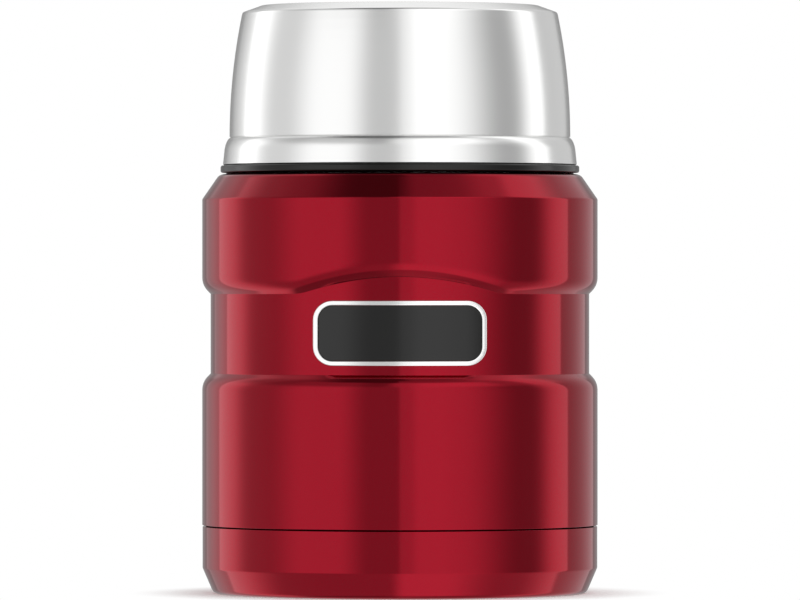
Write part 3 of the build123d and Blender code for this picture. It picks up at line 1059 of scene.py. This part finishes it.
@dataclass
class Stopper:
    """The screwed stopper: black body with its flange, cradle and two threads, cup and seal."""

    bore: float = 36.4
    skirt: float = 38.2
    flange: float = 43.1
    flange_low: float = 100.95
    flange_high: float = 102.7
    lip: float = 0.26
    lip_inset: float = 1.2
    lip_slope: float = 0.2
    set_in_height: float = 110.2
    set_in: float = 0.4
    deck_low: float = 118.2
    deck_high: float = 120.2
    rim_high: float = 122.4
    rim_width: float = 2.0
    plug: float = 34.2
    plug_low: float = 104.6
    plug_wall: float = 2.0
    plug_floor: float = 1.4
    seal_low: float = 116.15
    seal_high: float = 118.05
    seal_groove: float = 0.8
    seal_bite: float = 0.65
    seal_fit: float = 0.3
    seal_seam: float = 0.9
    valley: Triple = (0.9, 1.2, 1.5)
    valley_depth: float = 0.3
    outer_thread_depth: float = 1.0
    outer_thread_low: float = 103.6
    inner_thread_depth: float = 0.9
    inner_thread_low: float = 102.6
    cradle_place: float = 21.0
    cradle_edge: float = 0.5
    saddle_size: Triple = (8, 6, 6.9)
    saddle_middle: float = 122.65
    saddle_edge: float = 0.4
    post_size: Triple = (8, 2, 12.75)
    post_side: float = 7.9
    post_middle: float = 125.575
    hook_size: Triple = (8, 3.4, 1.6)
    hook_side: float = 7.2
    hook_middle: float = 131.15

    def body(self) -> Piece:
        """The moulded body with its threads and cradle."""
        upper = self.skirt - self.set_in
        corners: list[Corner] = [
            (0, self.deck_high, 0),
            (upper - self.rim_width, self.deck_high, 0.5),
            (upper - self.rim_width, self.rim_high, 0.6),
            (upper, self.rim_high, 0.6),
            (upper, self.set_in_height + self.set_in, 0.1),
            (self.skirt, self.set_in_height, 0.1),
            (self.skirt, self.flange_high, 0.2),
            (self.flange, self.flange_high, 0.5),
            (self.flange, self.flange_low, 0.5),
            (self.flange - self.lip_inset, self.flange_low, 0.1),
            (self.flange - self.lip_inset - self.lip_slope, self.flange_low - self.lip, 0.1),
            (self.bore, self.flange_low - self.lip, 0.3),
            (self.bore, self.deck_low, 0.2),
            (0, self.deck_low, 0),
        ]
        core = lathe("stopper_core", rounded(corners))
        outer = Thread(BOWL_SCREW, self.skirt, self.skirt + self.outer_thread_depth, self.outer_thread_low)
        inner = Thread(MOUTH_SCREW, self.bore, self.bore - self.inner_thread_depth, self.inner_thread_low, turn=-120)
        return join("stopper_moulding", [core, *outer.ridges(), *inner.ridges(), *self.cradle()])

    def cradle(self) -> list[Piece]:
        """The saddle and the two hooked posts that hold the spoon."""
        parts = [block(self.saddle_size, (self.cradle_place, 0, self.saddle_middle), self.saddle_edge)]
        posts = (self.post_size, self.post_side, self.post_middle), (self.hook_size, self.hook_side, self.hook_middle)
        for size, side, middle in posts:
            part = block(size, (self.cradle_place, -side, middle), self.cradle_edge)
            parts += [part, copied(part, shift=(0, 2 * side, 0))]
        return parts

    def dip_cup(self) -> Piece:
        """The cup that dips into the mouth."""
        groove, bore = self.plug - self.seal_groove, self.plug - self.plug_wall
        corners: list[Corner] = [
            (0, self.plug_low, 0),
            (self.plug, self.plug_low, 2.0),
            (self.plug, self.seal_low, 0.3),
            (groove, self.seal_low, 0.1),
            (groove, self.deck_low, 0.1),
            (bore, self.deck_low, 0.1),
            (bore, self.plug_low + self.plug_floor, 0.6),
            (0, self.plug_low + self.plug_floor, 0),
        ]
        return lathe("stopper_dip_cup", rounded(corners))

    def seal(self) -> Piece:
        """The round seal, with a shallow groove between its two lips."""
        low, high = self.seal_low, self.seal_high
        inner, outer = self.plug - self.seal_bite, self.bore - self.seal_fit
        start, deepest, end = (inner + reach for reach in self.valley)
        corners: list[Corner] = [
            (inner, low + self.seal_seam, 0),
            (inner, low, 0.25),
            (start, low, 0.2),
            (deepest, low + self.valley_depth, 0.2),
            (end, low, 0.2),
            (outer, low, 0.38),
            (outer, high, 0.38),
            (inner, high, 0.25),
        ]
        return lathe("stopper_seal_ring", rounded(corners), closed=True)

    def build(self) -> None:
        """Models and dresses the stopper."""
        settle(self.body(), Body.STOPPER, BLACK_PLASTIC, "black_plastic", "stopper_body")
        settle(self.dip_cup(), Body.STOPPER, BLACK_PLASTIC, "black_plastic", "stopper_inner_cup")
        settle(self.seal(), Body.SEAL, GREY_SILICONE, "silicone", "stopper_gasket")


@dataclass
class Spoon:
    """The spoon folded in its cradle: bowl with its neck, handle over it, and the pin of its hinge."""

    place: float = -11.0
    half_length: float = 22.0
    half_width: float = 16.0
    depth: float = 6.8
    wall: float = 0.9
    rim: float = 127.05
    neck_half: float = 4.5
    neck_overlap: Triple = (2.4, 1.2, 0.7)
    flare: float = 6.4
    flare_start: float = 3.5
    flare_round: float = 14.0
    hinge_place: float = 30.6
    hinge_height: float = 128.05
    barrel_radius: float = 1.9
    barrel_width: float = 3.4
    barrel_gap: float = 0.15
    pin_radius: float = 0.9
    pin_fit: float = 0.05
    pin_head: float = 1.5
    pin_head_height: float = 0.6
    handle_near: float = 28.55
    handle_far: float = -32.45
    handle_half: float = 6.5
    handle_low: float = 128.75
    handle_wall: float = 1.2
    hole_place: float = -27.05
    hole_radius: float = 2.2
    corner: float = 5.6
    near_corner: float = 1.5
    tab_overlap: float = 0.8
    edge: float = 0.18
    hem: float = 0.32
    arc_steps: int = 16

    def quarter(self, inset: float) -> list[Corner]:
        """A quarter ellipse from the scoop's lowest point to its rim, set in from the outside by millimetres."""
        arc = [math.pi / 2 * k / self.arc_steps for k in range(self.arc_steps + 1)]
        length, depth = self.half_length - inset, self.depth - inset
        return [(length * math.sin(a), -depth * math.cos(a), 0) for a in arc[:-1]] + [(length, 0, self.hem)]

    def scoop(self) -> Piece:
        """The spoon's bowl: a turned shell, drawn narrower along Y."""
        corners = [*self.quarter(0), *reversed(self.quarter(self.wall))]
        piece = lathe("scoop", rounded(corners), steps=2 * FINE_STEPS)
        edit_all()
        bpy.ops.transform.resize(value=(1, self.half_width / self.half_length, 1), center_override=(0, 0, 0))
        shift_selected((self.place, 0, self.rim))
        return finish_mesh(piece.name)

    def neck(self) -> Piece:
        """The flat neck, which flares onto the bowl's rim and ends in two tongues under the hinge."""
        near = self.hinge_place - self.barrel_radius - self.barrel_gap
        tongue = self.barrel_width / 2 + self.barrel_gap
        root = self.place + self.half_length
        side, quarter, middle = self.neck_overlap
        half: list[Corner] = [
            (near, 0, 0),
            (near, tongue, 0),
            (self.hinge_place, tongue, 0),
            (self.hinge_place, self.neck_half, 0),
            (root + self.flare_start, self.neck_half, self.flare_round),
            (root - side, self.flare, 0),
            (root - quarter, self.flare / 2, 0),
        ]
        outline = [*half, (root - middle, 0, 0), *mirrored(half)]
        return plate("neck", outline, self.rim - self.wall, self.wall, self.edge)

    def laid(self, piece: Piece, side: float) -> Piece:
        """Lays a turned piece along the hinge.

        Args:
            piece: the piece, turned about Z round the origin.
            side: its place along Y in millimetres.

        Returns:
            The piece in its place.
        """
        edit_all()
        bpy.ops.transform.rotate(value=math.pi / 2, orient_axis="X", center_override=(0, 0, 0))
        shift_selected((self.hinge_place, side, self.hinge_height))
        return finish_mesh(piece.name)

    def barrel(self, side: float) -> Piece:
        """A hinge barrel.

        Args:
            side: its place along Y in millimetres.

        Returns:
            The barrel.
        """
        bore, half = self.pin_radius + self.pin_fit, self.barrel_width / 2
        lower: list[Corner] = [(bore, -half, 0.1), (self.barrel_radius, -half, 0.25)]
        section = rounded([(bore, 0, 0), *lower, *mirrored(lower)])
        return self.laid(lathe("barrel", section, closed=True, steps=FINE_STEPS), side)

    def head(self) -> Piece:
        """The bowl with its neck and the two outer barrels."""
        side = self.barrel_width + self.barrel_gap
        barrel = self.barrel(-side)
        return join("spoon_scoop", [self.scoop(), self.neck(), barrel, copied(barrel, shift=(0, 2 * side, 0))])

    def handle(self) -> Piece:
        """The handle with its hanging hole, its tab and the middle barrel."""
        near, wide = self.handle_near, self.handle_half
        half: list[Corner] = [(near, 0, 0), (near, wide, self.near_corner), (self.handle_far, wide, self.corner)]
        hole = (self.hole_place, 0, self.hole_radius)
        strip = plate("strip", [*half, *mirrored(half)], self.handle_low, self.handle_wall, self.edge, hole)
        length = self.hinge_place - near + self.tab_overlap
        middle = (self.hinge_place - length / 2, 0, self.handle_low + self.handle_wall / 2)
        tab = block((length, self.barrel_width, self.handle_wall), middle, self.edge)
        return join("spoon_strip", [strip, tab, self.barrel(0)])

    def pin(self) -> Piece:
        """The hinge pin with its two rounded heads."""
        half = self.barrel_width * 3 / 2 + self.barrel_gap * 2
        end = half + self.pin_head_height
        lower: list[Corner] = [
            (0, -end, 0),
            (self.pin_head, -end, 0.5),
            (self.pin_head, -half, 0.05),
            (self.pin_radius, -half, 0),
        ]
        return self.laid(lathe("spoon_pin", rounded([*lower, *mirrored(lower)]), steps=FINE_STEPS), 0)

    def build(self) -> None:
        """Models and dresses the spoon."""
        settle(self.head(), Body.STOPPER, SPOON_STEEL, "spoon_steel", "spoon_head")
        settle(self.handle(), Body.STOPPER, SPOON_STEEL, "spoon_steel", "spoon_handle")
        settle(self.pin(), Body.STOPPER, SPOON_STEEL, "spoon_steel", "spoon_rivet")


@dataclass
class Bowl:
    """The serving bowl, upside down as the lid: steel shell, lining and threaded ring."""

    rim_radius: float = 42.53
    rim: float = 102.85
    skirt_taper: float = 0.36
    skirt_straight: float = 3.4
    skirt_shoulder: Point = (41.775, 107.985)
    crease_radius: float = 40.94
    skirt_steps: int = 10
    crease: float = 109.5
    groove: float = 0.3
    groove_slope: float = 0.1
    groove_step: float = 0.08
    side_steps: int = 12
    draw_in: float = 3.09
    bevel_inset: float = 4.6
    bevel_height: float = 1.65
    top: float = 141.1
    top_dish: float = 0.2
    dish_width: float = 9.0
    dish_round: float = 40.0
    wall: float = 0.6
    air_gap: float = 0.75
    lining_wall: float = 0.5
    lining_fit: float = 0.15
    lining_flange: Point = (0.35, 0.6)
    flange_margin: float = 0.2
    ring_bore: float = 39.6
    ring_low: float = 103.15
    ring_high: float = 109.2
    ring_seam: float = 2.0
    ring_shoulder: tuple[Corner, ...] = ((41.75, 103.15, 0.25), (41.45, 106.2, 1.0), (41.05, 107.6, 0.8))
    ring_top_radius: float = 40.22
    thread_depth: float = 1.0
    thread_low: float = 103.6

    def upper_corners(self) -> list[Corner]:
        """Outside of the shell from the middle of its top down to the crease."""
        side_height = self.top - self.bevel_height - self.crease
        sweep = (side_height**2 + self.draw_in**2) / 2 / self.draw_in
        corner = self.crease_radius - self.draw_in
        corners: list[Corner] = [
            (0, self.top - self.top_dish, 0),
            (corner - self.bevel_inset - self.dish_width, self.top - self.top_dish / 2, self.dish_round),
            (corner - self.bevel_inset, self.top, 1.0),
            (corner, self.top - self.bevel_height, 0.8),
        ]
        for k in range(self.side_steps - 1, 0, -1):
            rise = side_height * k / self.side_steps
            corners.append((self.crease_radius - sweep + math.sqrt(sweep**2 - rise**2), self.crease + rise, 0))
        return corners

    def shell(self) -> Piece:
        """The steel shell."""
        skirt_top = (self.rim_radius - self.skirt_taper, self.rim + self.skirt_straight)
        corners: list[Corner] = [
            *self.upper_corners(),
            (self.crease_radius, self.crease + self.groove_slope, 0),
            (self.crease_radius - self.groove, self.crease, 0.05),
            (self.crease_radius + self.groove_step, self.crease - self.groove, 0.05),
            *bow((self.crease_radius, self.crease), self.skirt_shoulder, skirt_top, self.skirt_steps)[1:],
            (*skirt_top, 0),
            (self.rim_radius, self.rim, 0),
        ]
        return lathe("bowl_shell", rounded(wall_of(corners, -self.wall, 0.29)))

    def lining(self) -> Piece:
        """The drawn steel lining inside the shell."""
        gap = self.wall + self.air_gap
        low = self.ring_high + self.lining_fit
        foot = self.crease_radius - gap
        reach, height = self.lining_flange
        clear = low + height + self.flange_margin
        outside = [c for c in set_in(self.upper_corners(), -gap) if c[1] > clear or c[0] == 0]
        inside = set_in([*outside, (foot, low, 0)], -self.lining_wall)
        outline: list[Corner] = [
            *outside,
            (foot, low + height, 0.15),
            (foot + reach, low + height, 0.1),
            (foot + reach, low, 0.1),
            (foot - self.lining_wall, low, 0.2),
            *reversed(inside[:-1]),
        ]
        return lathe("bowl_lining_wall", rounded(outline))

    def ring(self) -> Piece:
        """The moulded ring inside the skirt, with the thread that grips the stopper."""
        corners: list[Corner] = [
            (self.ring_bore, self.ring_low + self.ring_seam, 0),
            (self.ring_bore, self.ring_low, 0.3),
            *self.ring_shoulder,
            (self.ring_top_radius, self.ring_high, 0.2),
            (self.ring_bore, self.ring_high, 0.15),
        ]
        core = lathe("ring_core", rounded(corners), closed=True)
        thread = Thread(BOWL_SCREW, self.ring_bore, self.ring_bore - self.thread_depth, self.thread_low, turn=-45)
        return join("bowl_grip_ring", [core, *thread.ridges()])

    def build(self) -> None:
        """Models and dresses the bowl."""
        settle(self.shell(), Body.BOWL, BOWL_STEEL, "satin_steel", "bowl_outer_shell")
        settle(self.ring(), Body.BOWL, BLACK_PLASTIC, "black_plastic", "bowl_thread_ring")
        settle(self.lining(), Body.LINING, LINING_STEEL, "bright_steel", "bowl_inner_liner")


@dataclass
class KeptSolids:
    """The solids that stay as they are, each with its finish."""

    finishes: dict[str, Finish] = field(
        default_factory=lambda: {
            "radiation_foil": WRAP_FOIL,
            "shell_bottom_plate": VESSEL_STEEL,
            "vacuum_seal_plug": SEALING_METAL,
            "getter_holder": VESSEL_STEEL,
            "getter_pellet": GETTER_POWDER,
            "base_bond_ring": BOND_SILICONE,
            "badge_pad": BOND_SILICONE,
            "stopper_insulation": PALE_FOAM,
        }
    )

    def build(self, nodes: dict[str, Piece]) -> None:
        """Dresses the nodes that no piece stands for.

        Args:
            nodes: the frame's nodes by name.
        """
        for name, finish in self.finishes.items():
            dress(nodes[name], finish)
            LOG.info("  %s keeps its solid", name)


# ---------------------------------------------------------------- studio


@dataclass(frozen=True)
class Card:
    """An upright card on the light dome: angles in degrees from the camera's side, growing to the right."""

    middle: float
    half_width: float
    left_soft: float
    right_soft: float
    level: float


@dataclass(frozen=True)
class Ring:
    """A ring of the light dome: where it begins and is whole, its plain level and its cards."""

    start: float
    full: float
    level: float
    cards: tuple[Card, ...]


UPRIGHT_CARDS = (
    Card(172.2, 57, 1, 1.5, 0.65),
    Card(-150, 4, 1, 14, 1.04),
    Card(-134, 3.5, 14, 1, 1.34),
    Card(118, 3, 1, 22, 1.13),
    Card(-122, 8, 1, 14, 1.45),
    Card(-88, 5, 26, 26, 0.73),
    Card(-9, 8, 20, 2, 0.6),
    Card(3.5, 2.5, 1, 5, 1.0),
    Card(17, 5, 10, 14, 1.26),
    Card(78, 3, 42, 26, 0.42),
    Card(107, 7, 14, 1, 1.38),
)
LOW_CARDS = (
    Card(172.5, 54.5, 4, 4, 0.78),
    Card(-45, 37, 36, 12, 0.68),
    Card(79, 5, 44, 34, 0.7),
)
HIGH_CARDS = (
    Card(-60, 50, 20, 12, 0.62),
    Card(-86, 2, 18, 18, 0.86),
    Card(-16, 3, 16, 12, 0.78),
    Card(30, 10, 18, 36, 1.4),
    Card(80, 4, 16, 14, 0.7),
    Card(106, 8, 10, 10, 1.35),
    Card(142, 10, 12, 20, 0.72),
    Card(-145, 10, 6, 8, 0.68),
)


@dataclass
class Studio:
    """White surround, soft light dome with a few grey cards, pale floor and camera."""

    horizon: Ring = Ring(0, 0, 1.17, (*UPRIGHT_CARDS, Card(179.5, 25.5, 1, 1, 0.83)))
    rings: tuple[Ring, ...] = (
        Ring(-0.15, -0.55, 1.38, LOW_CARDS),
        Ring(-0.79, -0.88, 0.8, (Card(-60, 40, 40, 30, 0.4), Card(90, 30, 40, 40, 0.55))),
        Ring(0.23, 0.32, 1.17, (*UPRIGHT_CARDS, Card(179.5, 25.5, 1, 1, 1.1))),
        Ring(0.36, 0.64, 1.0, HIGH_CARDS),
        Ring(0.76, 0.87, 1.02, (Card(-22, 20, 100, 2, 0.14), Card(28, 28, 2, 40, 0.56))),
        Ring(0.88, 0.965, 0.46, (Card(-50, 50, 30, 20, 0.14),)),
    )
    dome_radius: float = 4.0
    floor_radius: float = 0.5
    floor_sides: int = 96
    floor_drop: float = 2e-5
    floor_grain: float = 800
    floor_tones: tuple[Colour, Colour] = ((0.93, 0.93, 0.93), (0.95, 0.95, 0.95))
    floor_roughness: float = 0.9
    floor_lift: float = 0.2
    clear_start: float = 0.047
    clear_end: float = 0.066
    camera_place: Triple = (0.00002, -2.12, 0.0752)
    sensor_width: float = 36.0
    sight: float = 50.0
    focal_pixels: float = 8820
    picture_width: float = 800
    horizon_row: float = 280
    middle_row: float = 300

    def ring_level(self, bench: Bench, turn: Socket, ring: Ring) -> Socket:
        """The light of one ring.

        Args:
            bench: the dome's nodes.
            turn: the direction's angle in degrees.
            ring: the ring.

        Returns:
            The level in that direction.
        """
        level: Socket | float = ring.level
        for card in ring.cards:
            away = bench.sum("WRAP", bench.sum("SUBTRACT", turn, card.middle), 180.0, -180.0)
            left = bench.ramp(away, -card.half_width - card.left_soft, -card.half_width)
            right = bench.ramp(away, card.half_width, card.half_width + card.right_soft, 1, 0)
            shape = bench.sum("MULTIPLY", left, right)
            level = bench.sum("MULTIPLY_ADD", shape, card.level - ring.level, level)
        return level

    def surround(self) -> None:
        """The plain white world behind everything."""
        world = bpy.data.worlds.new("white_surround")
        bpy.context.scene.world = world
        world.use_nodes = True
        world.node_tree.nodes["Background"].inputs["Color"].default_value = (1, 1, 1, 1)

    def dome(self) -> None:
        """The light dome round the object, which the camera looks through."""
        start_fresh()
        sides = {"segments": FINE_STEPS, "ring_count": FINE_STEPS // 2}
        bpy.ops.mesh.primitive_uv_sphere_add(**sides, radius=self.dome_radius, location=(0, 0, 0))
        edit_all()
        bpy.ops.mesh.normals_make_consistent(inside=True)
        dome = finish_mesh("light_dome")
        dome.visible_camera = False
        sheet = Sheet("dome_light")
        way = sheet.add("ShaderNodeVectorMath", {0: sheet.place}, operation="NORMALIZE").outputs[0]
        split = sheet.add("ShaderNodeSeparateXYZ", {0: way})
        toward = sheet.sum("MULTIPLY", split.outputs["Y"], -1.0)
        turn = sheet.sum("DEGREES", sheet.sum("ARCTAN2", split.outputs["X"], toward))
        level = self.ring_level(sheet, turn, self.horizon)
        for ring in self.rings:
            share = sheet.ramp(split.outputs["Z"], ring.start, ring.full)
            change = sheet.sum("SUBTRACT", self.ring_level(sheet, turn, ring), level)
            level = sheet.sum("MULTIPLY_ADD", share, change, level)
        sheet.show(sheet.glow(level))
        dome.data.materials.append(sheet.material)

    def floor(self) -> None:
        """The pale floor, which keeps the jar's shadow and clears to white further out."""
        start_fresh()
        shape = {"vertices": self.floor_sides, "radius": self.floor_radius, "fill_type": "NGON"}
        bpy.ops.mesh.primitive_circle_add(**shape, location=(0, 0, -self.floor_drop))
        floor = finish_mesh("floor")
        sheet = Sheet("pale_floor")
        distance = sheet.add("ShaderNodeVectorMath", {0: sheet.place}, operation="LENGTH").outputs["Value"]
        far = sheet.ramp(distance, self.clear_start, self.clear_end)
        rays = sheet.add("ShaderNodeLightPath").outputs
        metal = sheet.sum("MAXIMUM", rays["Is Glossy Ray"], rays["Is Transmission Ray"])
        seen = sheet.sum("MAXIMUM", rays["Is Camera Ray"], metal)
        sheet.feed(
            Base_Color=sheet.blend(sheet.noise(self.floor_grain), *self.floor_tones),
            Roughness=self.floor_roughness,
            Emission_Color=(1, 1, 1),
            Emission_Strength=sheet.sum("MULTIPLY", seen, self.floor_lift),
        )
        inputs = {0: sheet.sum("MULTIPLY", far, seen), 1: sheet.shader.outputs[0], 2: sheet.glow(1.0)}
        sheet.show(sheet.add("ShaderNodeMixShader", inputs).outputs[0])
        floor.data.materials.append(sheet.material)
        floor.visible_glossy = False

    def camera(self) -> None:
        """The camera, level with the waist and far off."""
        data = bpy.data.cameras.new("camera")
        data.sensor_width = self.sensor_width
        data.lens = self.sensor_width * self.focal_pixels / self.picture_width
        data.clip_end = self.sight
        camera = bpy.data.objects.new("camera", data)
        bpy.context.scene.collection.objects.link(camera)
        camera.location = self.camera_place
        dip = math.atan((self.middle_row - self.horizon_row) / self.focal_pixels)
        camera.rotation_euler = (math.pi / 2 - dip, 0, 0)
        bpy.context.scene.camera = camera

    def build(self) -> None:
        """Sets up the surround, the light, the floor and the camera."""
        self.surround()
        self.dome()
        self.floor()
        self.camera()
        bpy.context.scene.view_settings.view_transform = "Standard"


def main() -> None:
    """Builds the sub-assemblies in order."""
    logging.basicConfig(level=logging.INFO, format="%(message)s")
    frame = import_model()
    Studio().build()
    for assembly in (Jar(), Stopper(), Spoon(), Bowl()):
        LOG.info("%s", type(assembly).__name__)
        assembly.build()
    KeptSolids().build(frame["nodes"])
    bpy.context.view_layer.update()


if __name__ == "__main__":
    main()
